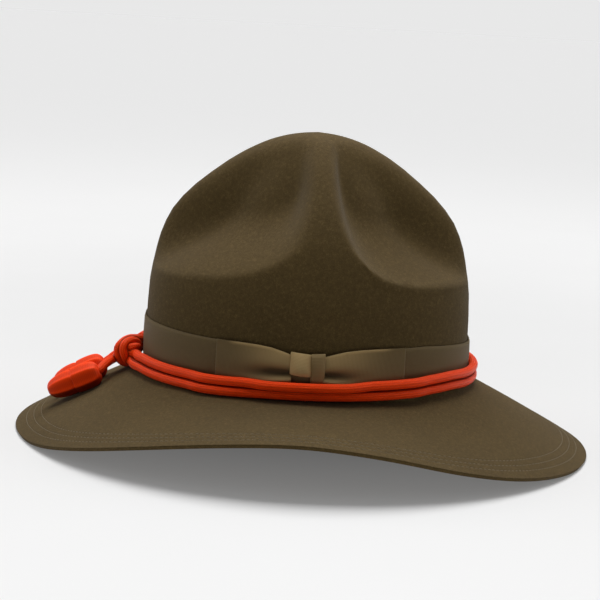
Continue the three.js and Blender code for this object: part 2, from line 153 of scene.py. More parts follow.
# Bow, in millimetres: along is the share of the way from the middle to the free end,
# low and high are heights above the break, puff is how far the front ply stands out,
# fold is the depth of the pleat that the middle draws in.
PLY = 0.5 * MM
BOW_BACK = 1.6
BOW_LOOPS = [
    {
        "name": "bow_front_loop", "node": "bow_loop_front", "knot": -8.0, "end": -53.0,
        "fold_at": 0.41, "top_lip": 0.5,
        "leaf": [
            {"along": 0, "low": 9, "high": 26.2, "puff": 3.6, "fold": 2.6},
            {"along": 0.12, "low": 8, "high": 28.0, "puff": 4.2, "fold": 3.0},
            {"along": 0.28, "low": 6.4, "high": 30.0, "puff": 3.8, "fold": 2.8},
            {"along": 0.46, "low": 5, "high": 30.9, "puff": 3.0, "fold": 1.7},
            {"along": 0.64, "low": 4.2, "high": 31.1, "puff": 2.4, "fold": 0.6},
            {"along": 0.82, "low": 3.8, "high": 31.1, "puff": 2.0, "fold": 0.1},
            {"along": 1, "low": 3.6, "high": 31, "puff": 1.7, "fold": 0},
        ],
    },
    {
        "name": "bow_back_loop", "node": "bow_loop_back", "knot": 10.2, "end": 58.5,
        "fold_at": 0.40, "top_lip": 0.4,
        "leaf": [
            {"along": 0, "low": 9, "high": 25.8, "puff": 3.2, "fold": 2.4},
            {"along": 0.12, "low": 8, "high": 27.6, "puff": 3.9, "fold": 2.9},
            {"along": 0.28, "low": 6.4, "high": 29.6, "puff": 3.5, "fold": 2.0},
            {"along": 0.46, "low": 5, "high": 30.6, "puff": 2.8, "fold": 0.7},
            {"along": 0.64, "low": 4.2, "high": 31.0, "puff": 2.3, "fold": 0.1},
            {"along": 0.82, "low": 3.8, "high": 31.1, "puff": 2.0, "fold": 0},
            {"along": 1, "low": 3.6, "high": 31, "puff": 1.8, "fold": 0},
        ],
    },
]
# The strip round the middle of the bow; an outline is (height above the break, out), and lit is a share of painted
# light on its colour.
BOW_STRIP = [
    {
        "from": -9.1, "to": 3.4, "round": 0.35, "slant": -1.2, "lit": 0.95,
        "outline": [(26.4, 0.2), (27.4, 1.2), (27.0, 2.6), (25.2, 4.0), (22.4, 5.3), (19.4, 6.2), (17.0, 6.3),
                    (15.4, 5.2), (15.2, 3.0), (15.8, 0.8)],
    },
    {
        "from": 3.2, "to": 11.3, "round": 0.12, "slant": 0.6, "lit": 0.42,
        "outline": [(26.8, 0.2), (27.5, 1.4), (27.1, 3.0), (25.4, 3.9), (21, 4.3), (15, 3.9), (9, 3.0), (4.4, 2.4)],
    },
    {
        "from": -8.6, "to": 4.0, "round": 0.2, "slant": 0, "lit": 0.0,
        "outline": [(18, 1.0), (15, 1.6), (11, 2.0), (7, 2.1), (4.4, 1.9)],
    },
]

# The knot's cords, in millimetres. The wrap comes off the far strands, makes two turns
# round everything and ends inside; the near strands run through it and on as the legs.
# Drawn tight they are a little thinner than the strands, which full says as a share.
KNOT_STEP = 1.2 * MM
DRAWN_FULL = 0.95
KNOT_CORDS = [
    {
        "name": "wrap",
        "points": [(-106.4, 7.0, 54.4), (-107.9, 1.0, 55.1), (-111.3, -4.0, 55.9), (-115.0, -8.0, 54.8),
                   (-118.1, -10.5, 51.5), (-118.5, -10.5, 47.5), (-117.0, -9.0, 42.9), (-113.8, -5.0, 40.4),
                   (-110.4, 0.4, 41.6), (-107.9, 3.4, 45.0), (-107.0, 2.0, 49.6), (-107.8, -2.2, 53.4),
                   (-111.0, -7.4, 55.2), (-114.0, -11.5, 53.7), (-115.0, -13.0, 50.8), (-114.1, -13.3, 47.0),
                   (-112.2, -11.8, 43.2), (-109.8, -8.0, 41.8), (-109.2, -4.0, 42.8)],
    },
    {
        "name": "far_lower",
        "points": [(-106.2, 7.0, 48.4), (-109.6, 3.2, 48.0), (-113.4, -1.0, 47.6), (-117.0, -3.0, 46.4)],
    },
    {
        "name": "near_upper",
        "points": [(-105.95, -15.6, 48.4), (-108.6, -13.2, 48.4), (-111.8, -10.4, 48.3), (-115.0, -7.0, 47.6)],
    },
    {
        "name": "near_lower",
        "points": [(-108.5, -16.1, 43.1), (-110.4, -13.4, 43.7), (-112.6, -10.6, 44.3), (-115.6, -7.0, 45.0)],
    },
    {
        "name": "bight", "full": 0.86,
        "points": [(-114.6, -6.0, 49.0), (-112.6, -10.2, 50.7), (-109.8, -12.2, 51.9), (-107.2, -10.6, 52.2),
                   (-106.4, -7.2, 51.2), (-107.2, -3.4, 48.8)],
    },
]
LEG_CORDS = [
    {
        "name": "hat_leg_near", "node": "cord_leg_near",
        "points": [(-114.6, -6.4, 45.6), (-117.6, -7.0, 44.6), (-120.3, -8.2, 43.7), (-123.6, -12.0, 42.2),
                   (-126.6, -17.0, 40.2), (-129.0, -20.2, 37.6), (-132.0, -20.6, 35.6)],
    },
    {
        "name": "hat_leg_far", "node": "cord_leg_far",
        "points": [(-114.6, -2.6, 46.4), (-117.8, -1.6, 45.8), (-121.0, -1.2, 44.4), (-124.0, -2.6, 42.0),
                   (-127.2, -3.2, 39.6), (-130.4, -3.2, 37.4)],
    },
]

# Acorns: along runs from the cord's end, faceted is how flat the facets are there.
ACORN_FACETS = 6
ACORN_PROFILE = [
    {"along": 0.0, "radius": 0.0, "faceted": 0},
    {"along": 0.1, "radius": 3.6, "faceted": 0},
    {"along": 0.9, "radius": 5.6, "faceted": 0.4},
    {"along": 2.4, "radius": 7.1, "faceted": 0.9},
    {"along": 5.0, "radius": 8.1, "faceted": 1},
    {"along": 9.0, "radius": 8.5, "faceted": 1},
    {"along": 13.0, "radius": 8.5, "faceted": 1},
    {"along": 16.5, "radius": 8.2, "faceted": 1},
    {"along": 17.2, "radius": 8.0, "faceted": 0.9},
    {"along": 17.5, "radius": 7.3, "faceted": 0.6},
    {"along": 18.2, "radius": 7.6, "faceted": 0.8},
    {"along": 20.0, "radius": 7.9, "faceted": 1},
    {"along": 24.0, "radius": 7.8, "faceted": 1},
    {"along": 28.0, "radius": 7.1, "faceted": 1},
    {"along": 31.5, "radius": 5.9, "faceted": 1},
    {"along": 33.6, "radius": 4.5, "faceted": 0.8},
    {"along": 34.6, "radius": 3.0, "faceted": 0.4},
    {"along": 35.0, "radius": 0.0, "faceted": 0},
]
ACORNS = [
    {
        "name": "hat_acorn_near", "node": "acorn_near", "spin": 0.1,
        "start": (-128.4, -20.6, 37.3), "axis": (-0.908, 0, -0.419),
    },
    {
        "name": "hat_acorn_far", "node": "acorn_far", "spin": 0.25,
        "start": (-127.2, -3.2, 39.0), "axis": (-0.9, 0, -0.436),
    },
]

# The top light, the light that the floor gives of itself further out, so that it stays
# evenly pale, and the studio's air: how bright it is at the horizon, above and at the sides.
TOP_LIGHT = {"name": "top_light", "place": (0, 0.35, 1.2), "aim": (0, 0.31, 0), "size": 1.15, "power": 24.5}
FLOOR_GLOW = 0.68
AIR = {"horizon": 0.808, "above": 0.05, "fade": (0.015, 0.09), "side": 1.35}


# ---- settings ----


class FeltSettings(bpy.types.PropertyGroup):
    """Colours and surface of the felt, and the rows of stitches near the brim's edge."""

    body_colour: FloatVectorProperty(
        name="Felt", description="Main colour of the felt", subtype="COLOR", default=(0.105, 0.0695, 0.0245)
    )
    light_colour: FloatVectorProperty(
        name="Light fibres", description="Colour of the lightest fibres", subtype="COLOR",
        default=(0.165, 0.113, 0.045),
    )
    dark_colour: FloatVectorProperty(
        name="Dark fibres", description="Colour of the darkest fibres", subtype="COLOR",
        default=(0.051, 0.0335, 0.0122),
    )
    nap: FloatProperty(
        name="Nap", description="Height of the felt's surface fibres", subtype="DISTANCE", default=0.5 * MM
    )
    stitch_pitch: FloatProperty(
        name="Stitch pitch", description="Distance from one stitch to the next", subtype="DISTANCE",
        default=3.2 * MM,
    )
    stitch_length: FloatProperty(
        name="Stitch length", description="Length of one stitch", subtype="DISTANCE", default=2.5 * MM
    )
    thread: FloatProperty(
        name="Thread", description="Thickness of the sewing thread", subtype="DISTANCE", default=0.45 * MM
    )
    stitch_colour: FloatVectorProperty(
        name="Thread colour", description="Colour of the sewing thread", subtype="COLOR",
        default=(0.14, 0.104, 0.048),
    )


class RibbonSettings(bpy.types.PropertyGroup):
    """Colour and ribs of the grosgrain ribbon."""

    colour: FloatVectorProperty(
        name="Ribbon", description="Colour of the ribbon", subtype="COLOR", default=(0.120, 0.083, 0.036)
    )
    rib: FloatProperty(
        name="Rib pitch", description="Distance between the ribs of the ribbon", subtype="DISTANCE",
        default=0.8 * MM,
    )


class CordSettings(bpy.types.PropertyGroup):
    """Size, braid and colour of the hat cord."""

    diameter: FloatProperty(
        name="Cord", description="Diameter of the hat cord", subtype="DISTANCE", default=5.8 * MM
    )
    columns: IntProperty(name="Columns", description="Columns of threads round the cord", default=12)
    thread: FloatProperty(
        name="Thread pitch", description="Distance between threads along the cord", subtype="DISTANCE",
        default=0.8 * MM,
    )
    colour: FloatVectorProperty(
        name="Cord colour", description="Colour of the cord", subtype="COLOR", default=(0.98, 0.058, 0.004)
    )
    groove_colour: FloatVectorProperty(
        name="Groove colour", description="Colour between the threads", subtype="COLOR",
        default=(0.48, 0.016, 0.002),
    )


class StudioSettings(bpy.types.PropertyGroup):
    """Camera, lights and floor."""

    distance: FloatProperty(
        name="Distance", description="From the camera to the hat", subtype="DISTANCE", default=1.1
    )
    elevation: FloatProperty(
        name="Elevation", description="Height of the camera", subtype="ANGLE", default=math.radians(9.47)
    )
    roll: FloatProperty(
        name="Roll", description="Turn of the camera about its view", subtype="ANGLE",
        default=math.radians(3.2),
    )
    lens: FloatProperty(name="Lens", description="Focal length in millimetres", default=104.15)
    aim: FloatVectorProperty(
        name="Aim", description="Point that the camera looks at", subtype="XYZ", default=(-0.0055, -0.0014, 0.0862)
    )
    floor_size: FloatProperty(
        name="Floor", description="Side of the floor", subtype="DISTANCE", default=60.0
    )


# ---- materials ----


class Socket:
    """A number in a material. Arithmetic on it adds Math nodes."""

    def __init__(self, finish, link):
        self.finish = finish
        self.link = link

    def math(self, operation, *others):
        values = [self, *others]
        return self.finish.node("ShaderNodeMath", {"operation": operation}, dict(enumerate(values)))

    def __add__(self, other):
        return self.math("ADD", other)

    def __sub__(self, other):
        return self.math("SUBTRACT", other)

    def __rsub__(self, other):
        return self.math("MULTIPLY", -1) + other

    def __mul__(self, other):
        return self.math("MULTIPLY", other)

    __radd__ = __add__
    __rmul__ = __mul__

    def clamped(self):
        return self.math("MULTIPLY", 1).math("MAXIMUM", 0).math("MINIMUM", 1)


class Finish:
    """A material under construction around one Principled shader."""

    def __init__(self, name, **constants):
        self.material = bpy.data.materials.new(name)
        self.material.use_nodes = True
        self.tree = self.material.node_tree
        self.shader = self.tree.nodes["Principled BSDF"]
        for title, value in constants.items():
            self.shader.inputs[title.replace("_", " ")].default_value = value

    def node(self, kind, settings=None, inputs=None, output=0):
        """Adds a node: settings first, then values or links for its sockets."""
        made = self.tree.nodes.new(kind)
        for title, value in (settings or {}).items():
            if title == "stops":
                self.fill_ramp(made.color_ramp, value)
            else:
                setattr(made, title, value)
        for title, value in (inputs or {}).items():
            if isinstance(value, Socket):
                self.tree.links.new(value.link, made.inputs[title])
            else:
                made.inputs[title].default_value = value
        return Socket(self, made.outputs[output])

    def fill_ramp(self, ramp, stops):
        while len(ramp.elements) < len(stops):
            ramp.elements.new(0.5)
        for element, (place, colour) in zip(ramp.elements, stops):
            element.position = place
            element.color = (*colour, 1)

    def object_place(self):
        return self.node("ShaderNodeTexCoord", output="Object")

    def parts(self, place):
        """The three numbers of a place."""
        x = self.node("ShaderNodeSeparateXYZ", inputs={0: place}, output="X")
        return x, Socket(self, x.link.node.outputs["Y"]), Socket(self, x.link.node.outputs["Z"])

    def uv(self):
        """The piece's own UV map as two numbers."""
        return self.parts(self.node("ShaderNodeTexCoord", output="UV"))[:2]

    def attribute(self, name):
        """A number that the piece keeps at its points, 0 where it has none."""
        return self.node("ShaderNodeAttribute", {"attribute_name": name}, output="Fac")

    def noise(self, place, scale, detail=3.0, roughness=0.6, distortion=0.0):
        inputs = {
            "Vector": place, "Scale": scale, "Detail": detail,
            "Roughness": roughness, "Distortion": distortion,
        }
        return self.node("ShaderNodeTexNoise", inputs=inputs, output="Fac")

    def between(self, share, low, high):
        """A colour from low to high."""
        low, high = (c if isinstance(c, Socket) else (*c, 1) for c in (low, high))
        inputs = {"Factor": share, 6: low, 7: high}
        return self.node("ShaderNodeMix", {"data_type": "RGBA"}, inputs, output=2)

    def ramp(self, value, low, high):
        """0 up to low, 1 from high, smooth in between."""
        settings = {"interpolation_type": "SMOOTHSTEP"}
        inputs = {"Value": value, "From Min": low, "From Max": high}
        return self.node("ShaderNodeMapRange", settings, inputs, output="Result")

    def bump(self, height, distance, strength):
        inputs = {"Height": height, "Distance": distance, "Strength": strength}
        return self.node("ShaderNodeBump", inputs=inputs, output="Normal")

    def connect(self, **links):
        for title, value in links.items():
            self.tree.links.new(value.link, self.shader.inputs[title.replace("_", " ")])
        return self.material


def brim_inset(finish, place):
    """Distance in from the brim's cut edge, on and near the brim."""
    x, y, _ = finish.parts(place)
    across_x, across_y = x * (1 / BRIM_HALF_LENGTH ** 2), y * (1 / BRIM_HALF_WIDTH ** 2)
    out = (x * across_x + y * across_y).math("SQRT")
    slope = (across_x * across_x + across_y * across_y).math("SQRT")
    return (1 - out) * out * slope.math("MAXIMUM", 0.1).math("POWER", -1)


def felt_finish(settings):
    """Dense wool felt: mottled fibres, a short nap, the stitches' grooves, and painted shade that darkens the cut
    edge.
    """
    finish = Finish("wool_felt", Sheen_Weight=0.05, Sheen_Roughness=0.5, Specular_IOR_Level=0.08)
    place = finish.object_place()
    cloud = finish.noise(place, 16, 3)
    mottle = finish.noise(place, 480, 4, 0.65)
    fibre = finish.noise(place, 1600, 4, 0.75, 0.3)
    fleck = finish.ramp(finish.noise(place, 2600, 2, 0.5, 0.4), 0.6, 0.74)
    share = finish.ramp(cloud * 0.15 + mottle * 0.3 + fibre * 0.65, 0.34, 0.8)
    tone = finish.between(share, settings.dark_colour, settings.body_colour)
    tone = finish.between(finish.ramp(mottle * 0.5 + fibre * 0.5, 0.5, 0.7) * 0.4, tone, settings.light_colour)
    tone = finish.between(fleck * 0.25, tone, settings.light_colour)
    inset = brim_inset(finish, place)
    # Painted shade: the colour darkens on the brim's cut edge and within 0.6 mm of it.
    cut = 1 - finish.ramp(inset, 0, 0.6 * MM)
    tone = finish.between(cut * 0.55, tone, settings.dark_colour)
    groove = sum(1 - finish.ramp((inset - at).math("ABSOLUTE"), 0, 1.1 * MM) for at in STITCH_ROWS)
    rough = fibre * 0.12 + 0.86
    nap = finish.bump(fibre * 0.6 + mottle * 0.3 - groove * 0.5, settings.nap, 0.5)
    return finish.connect(Base_Color=tone, Roughness=rough, Normal=nap)


def thread_finish(settings):
    """Sewing thread: two plies twisted round each other."""
    finish = Finish("sewing_thread", Sheen_Weight=0.2)
    place = finish.object_place()
    twist = finish.noise(place, 1800, 2, 0.5, 0.4)
    tone = finish.between(twist, [c * 0.7 for c in settings.stitch_colour], settings.stitch_colour)
    rough = twist * 0.1 + 0.7
    normal = finish.bump(twist, 0.1 * MM, 0.5)
    return finish.connect(Base_Color=tone, Roughness=rough, Normal=normal)


def grosgrain_finish(settings):
    """Grosgrain ribbon: fine ribs across its width, UV in metres along and across.

    It is painted paler where "lit" is kept, a painted highlight where the bow catches the light, and darker in its
    pleats where "shade" is kept, a painted shade.
    """
    finish = Finish("grosgrain", Sheen_Weight=0.05, Sheen_Roughness=0.4, Specular_IOR_Level=0.12)
    along, across = finish.uv()
    rib = (along * (math.pi / settings.rib)).math("SINE").math("ABSOLUTE")
    weft = (across * (math.pi / (0.35 * MM))).math("SINE").math("ABSOLUTE")
    place = finish.object_place()
    slub = finish.noise(place, 400, 3)
    fine = finish.noise(place, 2200, 2)
    share = (rib * 0.45 + weft * 0.1 + slub * 0.35 + fine * 0.2).clamped()
    tone = finish.between(share, [c * 0.62 for c in settings.colour], [c * 1.22 for c in settings.colour])
    # Painted highlight by "lit", then painted shade in the pleats by "shade".
    tone = finish.between(finish.attribute("lit").clamped(), tone, [c * 3.2 for c in settings.colour])
    tone = finish.between(finish.attribute("shade").clamped() * 0.85, tone, [c * 0.2 for c in settings.colour])
    rough = slub * 0.15 + 0.55
    normal = finish.bump(rib * 0.8 + weft * 0.2, 0.25 * MM, 0.6)
    return finish.connect(Base_Color=tone, Roughness=rough, Normal=normal)


def braid_finish(settings):
    """Braided cord: columns of slanted threads, each leaning against the next.

    The UV map goes once round the cord in U and runs in metres along it in V.
    """
    finish = Finish("braided_rayon", Specular_IOR_Level=0.5, Specular_Tint=(1, 0.25, 0.06, 1))
    around, along = finish.uv()
    turn = around * settings.columns
    across = turn.math("FRACT")
    lean = turn.math("FLOOR").math("PINGPONG", 1) * 2 - 1
    thread = along * (1 / settings.thread) + lean * across * 0.9
    ridge = (thread * math.pi).math("SINE").math("ABSOLUTE")
    swell = (across * math.pi).math("SINE").math("ABSOLUTE")
    height = ridge * 0.6 + swell * 0.4
    fibre = finish.noise(finish.object_place(), 1900, 2, 0.6, 0.5)
    wear = finish.noise(finish.object_place(), 120, 3)
    share = (finish.ramp(height, 0.1, 0.7) * 0.8 + fibre * 0.25 + wear * 0.1).clamped()
    tone = finish.between(share, settings.groove_colour, settings.colour)
    # Painted shade where the cord keeps "shade": against other cords and underneath.
    tone = finish.between(finish.attribute("shade").clamped() * 0.75, tone, [c * 0.1 for c in settings.colour])
    rough = fibre * 0.15 + 0.36
    normal = finish.bump(height + fibre * 0.15, 0.45 * MM, 0.7)
    return finish.connect(Base_Color=tone, Roughness=rough, Normal=normal)


def acorn_finish(settings):
    """Acorn cover: rayon threads laid lengthways over the facets, crossed by fine rounds."""
    finish = Finish("acorn_rayon", Specular_IOR_Level=0.5, Specular_Tint=(1, 0.25, 0.06, 1))
    around, along = finish.uv()
    strand = (around * (math.pi * 70)).math("SINE").math("ABSOLUTE")
    facet = (around * (math.pi * ACORN_FACETS)).math("COSINE").math("ABSOLUTE")
    round_ = (along * (math.pi / (1.1 * MM)) + strand * 0.7).math("SINE").math("ABSOLUTE")
    fibre = finish.noise(finish.object_place(), 1900, 2, 0.6, 0.5)
    height = strand * 0.6 + round_ * 0.4
    # The facets' ridges are drawn lighter: a painted highlight.
    share = (finish.ramp(height, 0.1, 0.8) * 0.45 + facet * facet * facet * 0.45 + fibre * 0.25).clamped()
    tone = finish.between(share, settings.groove_colour, settings.colour)
    # Painted shade where the acorn keeps "shade": on its downward faces.
    tone = finish.between(finish.attribute("shade").clamped() * 0.8, tone, [c * 0.1 for c in settings.colour])
    rough = fibre * 0.15 + 0.4
    normal = finish.bump(height + fibre * 0.2, 0.3 * MM, 0.6)
    return finish.connect(Base_Color=tone, Roughness=rough, Normal=normal)


def floor_finish():
    """Plain pale floor with a barely uneven tone, that glows where the top light no longer reaches."""
    finish = Finish("pale_floor", Specular_IOR_Level=0.1, Emission_Strength=FLOOR_GLOW)
    tone = finish.between(finish.noise(finish.object_place(), 3), (0.54, 0.54, 0.54), (0.57, 0.57, 0.57))
    rough = finish.noise(finish.object_place(), 8) * 0.1 + 0.8
    x, y, _ = finish.parts(finish.object_place())
    _, light_y, light_z = TOP_LIGHT["place"]
    reach = light_z ** 2
    away = x * x + (y - light_y) * (y - light_y) + reach
    lit = away.math("POWER", -1) * reach
    glow = lit * lit * -1 + 1
    return finish.connect(Base_Color=tone, Roughness=rough, Emission_Color=glow)


class Air(Finish):
    """The world under construction around its Background shader."""

    def __init__(self, name):
        self.material = bpy.data.worlds.new(name)
        self.material.use_nodes = True
        self.tree = self.material.node_tree
        self.shader = self.tree.nodes["Background"]


def studio_air():
    """Pale at the horizon and dark above, with a soft bright field at either side."""
    air = Air("studio_air")
    x, y, z = air.parts(air.node("ShaderNodeTexCoord", output="Generated"))
    low = 1 - air.ramp(z, *AIR["fade"])
    side = air.ramp(x.math("ABSOLUTE") + y * 0.25, 0.6, 0.95) * air.ramp(z, 0.1, 0.3)
    return air.connect(Color=low * (AIR["horizon"] - AIR["above"]) + AIR["above"] + side * AIR["side"])


# ---- making meshes ----


def select_only(*objects):
    bpy.ops.object.select_all(action="DESELECT")
    for obj in objects:
        obj.select_set(True)
    bpy.context.view_layer.objects.active = objects[0]


def new_piece(name, points, faces, uvs=None):
    """A smooth mesh piece from points and faces, with one UV pair for each face corner."""
    mesh = bpy.data.meshes.new(name)
    mesh.from_pydata([tuple(p) for p in points], [], [tuple(f) for f in faces])
    if uvs is not None:
        layer = mesh.uv_layers.new(name="UVMap")
        layer.data.foreach_set("uv", np.asarray(uvs, np.float32).ravel())
    obj = bpy.data.objects.new(name, mesh)
    bpy.context.scene.collection.objects.link(obj)
    select_only(obj)
    bpy.ops.object.shade_smooth()
    return obj


def keep_number(obj, name, values):
    """Keeps a number from 0 to 1 at each point of a piece, which its finish reads by name."""
    layer = obj.data.attributes.new(name, "FLOAT", "POINT")
    layer.data.foreach_set("value", np.clip(values, 0, 1).astype(np.float32).ravel())


def dress(obj, material, slot, *nodes):
    """Gives a piece its finish, and hides the CAD nodes it stands for."""
    obj.data.materials.clear()
    obj.data.materials.append(material)
    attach(obj, "root")
    if nodes:
        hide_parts(*nodes)
    return obj


def copy_of_node(node, name):
    """A merged copy of a CAD node, turned back into quads where it can be."""
    obj = bpy.data.objects.new(name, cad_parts[node].data.copy())
    bpy.context.scene.collection.objects.link(obj)
    select_only(obj)
    bpy.ops.mesh.customdata_custom_splitnormals_clear()
    bpy.ops.object.mode_set(mode="EDIT")
    bpy.ops.mesh.select_all(action="SELECT")
    bpy.ops.mesh.remove_doubles(threshold=0.005 * MM)
    bpy.ops.mesh.tris_convert_to_quads(face_threshold=math.radians(70), shape_threshold=math.radians(70))
    bpy.ops.object.mode_set(mode="OBJECT")
    bpy.ops.object.shade_smooth()
    return obj


def apply_subdivision(obj, levels):
    select_only(obj)
    modifier = obj.modifiers.new("Subdivision", "SUBSURF")
    modifier.levels = levels
    modifier.render_levels = levels
    bpy.ops.object.modifier_apply(modifier=modifier.name)


def read_points(mesh, of="co"):
    """The places of a mesh's points, or another triple of theirs, such as "normal"."""
    points = np.zeros(len(mesh.vertices) * 3)
    mesh.vertices.foreach_get(of, points)
    return points.reshape(-1, 3)


def write_points(mesh, points):
    mesh.vertices.foreach_set("co", np.asarray(points, np.float32).ravel())
    mesh.update()


def grid_faces(rows, columns, closed=False):
    """Quads of a grid stored row by row. A closed grid joins its last column to its first."""
    runs = columns if closed else columns - 1
    return [
        (r * columns + c, r * columns + (c + 1) % columns,
         (r + 1) * columns + (c + 1) % columns, (r + 1) * columns + c)
        for r in range(rows - 1)
        for c in range(runs)
    ]


# ---- the crown's surface ----


def oval(turn, long, wide):
    power = 2 / OVAL_POWER
    x, y = np.cos(turn), np.sin(turn)
    return long * np.sign(x) * np.abs(x) ** power, wide * np.sign(y) * np.abs(y) ** power


def break_height(turn):
    return BREAK_ENDS + (BREAK_SIDES - BREAK_ENDS) * np.sin(turn) ** 2


def beside_crown(turn, up, out):
    """Point at a turn from the back, a height above the break and a distance off the felt."""
    long = np.interp(up, CROWN_UP, CROWN_LONG)
    wide = np.interp(up, CROWN_UP, CROWN_WIDE)
    x, y = oval(turn, long + out, wide + out)
    return np.stack([x, y, break_height(turn) + LIFT + up + 0 * x], axis=-1)


def beside_left(x, up, out):
    """The same on the wearer's left, at a given x."""
    long = np.interp(up, CROWN_UP, CROWN_LONG) + out
    wide = np.interp(up, CROWN_UP, CROWN_WIDE) + out
    y = -wide * (1 - np.abs(x / long) ** OVAL_POWER) ** (1 / OVAL_POWER)
    turn = np.arctan2(y / wide, x / long)
    return np.stack([x, y, break_height(turn) + LIFT + up], axis=-1)


def smooth(share):
    share = np.clip(share, 0, 1)
    return share ** 3 * (share * (share * 6 - 15) + 10)


def dent_border(x, dent):
    from_side = np.abs(x - SIDE_RIDGE_X)
    return (dent["at_end"] + dent["rise"] * np.exp(-from_side / (dent["spread"] * MM))) * MM


def dent_share(x, y, up, dent):
    """Share of the radius taken by one dent from a point of the plain crown."""
    from_side = np.abs(x - SIDE_RIDGE_X)
    above = up - dent_border(x, dent)
    way = np.clip(above / (dent["run"] * MM), 0, 1)
    climb = smooth(way) * (1 - dent["crisp"]) + (1 - (1 - way) ** 2) * dent["crisp"]
    ridge = SIDE_RIDGE_WIDTH + (SIDE_RIDGE_TOP_WIDTH - SIDE_RIDGE_WIDTH) * smooth((up - 60 * MM) / (90 * MM))
    beside_side = 1 - np.exp(-((from_side / ridge) ** 2))
    beside_end = 1 - np.exp(-((y / END_RIDGE_WIDTH) ** 2))
    lip = dent["lip"] * MM * np.exp(-((above / LIP_WIDTH) ** 2)) / (90 * MM)
    fade = 1 - DENT_FADE * np.clip((up - DENT_FADE_FROM) / DENT_FADE_RUN, 0, 1) ** 1.5
    return (dent["depth"] * climb * fade - lip) * beside_side * beside_end


def press_dents(mesh):
    """Lays the crown's outer side on its exact surface, with a row of points on each crease."""
    points, normals = read_points(mesh), read_points(mesh, "normal")
    x, y = points[:, 0], points[:, 1]
    radius = np.hypot(x, y)
    outward = normals[:, 2] + (normals[:, 0] * x + normals[:, 1] * y) / np.maximum(radius, 1e-6)
    height = points[:, 2] - LIFT
    turn = np.arctan2(y, x)
    for _ in range(4):
        rise = break_height(turn)
        up = (height - rise) / (1 + (BREAK_ENDS - rise) / CROWN_RISE)
        long = np.interp(up, CROWN_UP, CROWN_LONG)
        wide = np.interp(up, CROWN_UP, CROWN_WIDE)
        power = OVAL_POWER / 2
        turn = np.arctan2(np.sign(y) * np.abs(y / wide) ** power, np.sign(x) * np.abs(x / long) ** power)
    plain_x, plain_y = oval(turn, long, wide)
    steep = np.zeros(len(points))
    for side, dent in DENTS.items():
        here = (plain_x > SIDE_RIDGE_X) == (side == "back")
        step = 0.1 * MM
        slope = (dent_border(plain_x + step, dent) - dent_border(plain_x - step, dent)) / (2 * step)
        gap = (up - dent_border(plain_x, dent)) / np.hypot(1, slope)
        if dent["lip"] > 0:
            steep += here * smooth((np.abs(slope) - 0.9) / 1.1) * np.exp(-((gap / SOFTEN_REACH) ** 2))
        near = here & (np.abs(gap) < CREASE_REACH) & (dent["lip"] > 0) & (np.abs(plain_y) > END_RIDGE_WIDTH)
        up = np.where(near, up - gap / np.hypot(1, slope), up)
        plain_x = np.where(near, plain_x + gap * slope / np.hypot(1, slope), plain_x)
    long = np.interp(up, CROWN_UP, CROWN_LONG)
    wide = np.interp(up, CROWN_UP, CROWN_WIDE)
    flat = np.clip(np.abs(plain_x) / long, 0, 1)
    plain_y = np.sign(plain_y) * wide * (1 - flat ** OVAL_POWER) ** (1 / OVAL_POWER)
    front = dent_share(plain_x, plain_y, up, DENTS["front"])
    back = dent_share(plain_x, plain_y, up, DENTS["back"])
    keep = 1 - np.where(plain_x > SIDE_RIDGE_X, back, front)
    rise = break_height(np.arctan2(plain_y / wide, plain_x / long))
    z = rise + LIFT + up * (1 + (BREAK_ENDS - rise) / CROWN_RISE)
    shaped = np.stack([plain_x * keep, plain_y * keep, z], axis=-1)
    weight = smooth((up - 44 * MM) / (10 * MM)) * smooth((141 * MM - up) / (10 * MM)) * (outward > 0)
    points += (shaped - points) * weight[:, None]
    soften(mesh, points, steep * weight)
    write_points(mesh, points)


def soften(mesh, points, weight):
    """Evens out the points where a crease climbs steeply across the rows of faces."""
    ends = np.zeros(len(mesh.edges) * 2, np.int64)
    mesh.edges.foreach_get("vertices", ends)
    ends = ends.reshape(-1, 2)
    ends = ends[weight[ends].max(axis=1) > 0.01]
    both = np.vstack([ends, ends[:, ::-1]])
    count = np.maximum(np.bincount(both[:, 0], minlength=len(points)), 1)
    for _ in range(SOFTEN_ROUNDS):
        mean = np.stack([np.bincount(both[:, 0], points[both[:, 1], i], len(points)) for i in range(3)], axis=-1)
        points += (mean / count[:, None] - points) * (0.6 * weight * (weight > 0.01))[:, None]


# ---- cords ----


def along_path(points):
    """Distance along a path and a steady pair of directions across it at each point."""
    points = np.asarray(points, float)
    steps = np.linalg.norm(np.diff(points, axis=0), axis=1)
    distance = np.concatenate([[0], np.cumsum(steps)])
    tangents = np.gradient(points, axis=0)
    tangents /= np.linalg.norm(tangents, axis=1)[:, None]
    first = np.cross(tangents[0], (0, 0, 1))
    if np.linalg.norm(first) < 0.2:
        first = np.cross(tangents[0], (0, 1, 0))
    rights = [first / np.linalg.norm(first)]
    for tangent in tangents[1:]:
        right = rights[-1] - tangent * np.dot(rights[-1], tangent)
        rights.append(right / np.linalg.norm(right))
    rights = np.array(rights)
    return distance, rights, np.cross(tangents, rights)


def smooth_path(points, step):
    """A smooth path through a few points, in even steps."""
    points = np.asarray(points, float)
    ends = np.vstack([2 * points[0] - points[1], points, 2 * points[-1] - points[-2]])
    t = np.linspace(0, 1, 24, endpoint=False)[:, None]
    parts = []
    for a, b, c, d in zip(ends, ends[1:], ends[2:], ends[3:]):
        parts.append(0.5 * (2 * b + (c - a) * t + (2 * a - 5 * b + 4 * c - d) * t ** 2
                            + (3 * b - a - 3 * c + d) * t ** 3))
    dense = np.vstack([*parts, points[-1:]])
    distance = np.concatenate([[0], np.cumsum(np.linalg.norm(np.diff(dense, axis=0), axis=1))])
    count = max(3, int(round(distance[-1] / step)) + 1)
    even = np.linspace(0, distance[-1], count)
    return np.stack([np.interp(even, distance, dense[:, i]) for i in range(3)], axis=-1)


